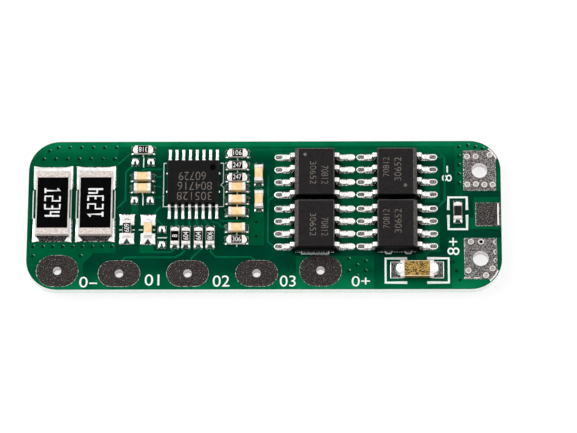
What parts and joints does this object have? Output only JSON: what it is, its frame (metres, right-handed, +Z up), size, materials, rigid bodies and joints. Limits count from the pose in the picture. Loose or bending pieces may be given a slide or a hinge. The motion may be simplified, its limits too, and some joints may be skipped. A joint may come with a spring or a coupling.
{
  "type": "battery management board",
  "caption": "Small rounded green circuit board that protects and monitors a battery pack, with solder pads for cells and output, current shunts, a control circuit and power switches.",
  "frame": {"origin": "middle of the board outline, on the flat underside", "axes": "+X along the board towards the output pads, +Y across it away from the cell pads, +Z up through the parts"},
  "size_m": [0.0454, 0.015, 0.0026],
  "materials": {
    "solder_mask": "glossy green solder mask over laminate, pale laminate at the cut edges",
    "tinned_copper": "grainy tin over copper",
    "solder": "bright solder",
    "tinned_leads": "bright tin plating",
    "tinned_ends": "satin tin plating",
    "black_overcoat": "smooth black glaze",
    "white_ceramic": "matt white alumina",
    "tan_ceramic": "satin tan ceramic",
    "speckled_body": "speckled brown and gold coat with pale edges",
    "black_moulding": "fine matt moulding compound"
  },
  "bodies": {
    "root": {"circuit_board": "solder_mask", "cell_pad_1": "tinned_copper", "cell_pad_2": "tinned_copper", "cell_pad_3": "tinned_copper", "cell_pad_4": "tinned_copper", "cell_pad_5": "tinned_copper", "output_pad_upper": "tinned_copper", "output_pad_lower": "tinned_copper", "charge_pad": "tinned_copper", "shunt_lands": "tinned_copper", "controller_lands": "tinned_copper", "switch_lands": "tinned_copper", "chip_lands": "tinned_copper", "shunt_1_ceramic": "white_ceramic", "shunt_1_ends": "tinned_ends", "shunt_1_overcoat": "black_overcoat", "shunt_2_ceramic": "white_ceramic", "shunt_2_ends": "tinned_ends", "shunt_2_overcoat": "black_overcoat", "controller_body": "black_moulding", "controller_leads": "tinned_leads", "switch_1_body": "black_moulding", "switch_1_leads": "tinned_leads", "switch_2_body": "black_moulding", "switch_2_leads": "tinned_leads", "switch_3_body": "black_moulding", "switch_3_leads": "tinned_leads", "switch_4_body": "black_moulding", "switch_4_leads": "tinned_leads", "resistor_1": "white_ceramic", "resistor_2": "white_ceramic", "resistor_3": "white_ceramic", "resistor_4": "white_ceramic", "resistor_5": "white_ceramic", "resistor_6": "white_ceramic", "resistor_7": "white_ceramic", "resistor_8": "white_ceramic", "resistor_9": "white_ceramic", "resistor_10": "white_ceramic", "resistor_11": "white_ceramic", "resistor_ends": "tinned_ends", "resistor_overcoats": "black_overcoat", "capacitor_1": "tan_ceramic", "capacitor_2": "tan_ceramic", "capacitor_3": "tan_ceramic", "capacitor_4": "tan_ceramic", "capacitor_5": "tan_ceramic", "capacitor_6": "tan_ceramic", "capacitor_7": "tan_ceramic", "capacitor_8": "tan_ceramic", "capacitor_9": "tan_ceramic", "capacitor_ends": "tinned_ends", "protector_body": "speckled_body", "protector_ends": "tinned_ends", "shunt_solder": "solder", "controller_solder": "solder", "switch_solder": "solder", "chip_solder": "solder", "protector_solder": "solder"}
  },
  "joints": []
}
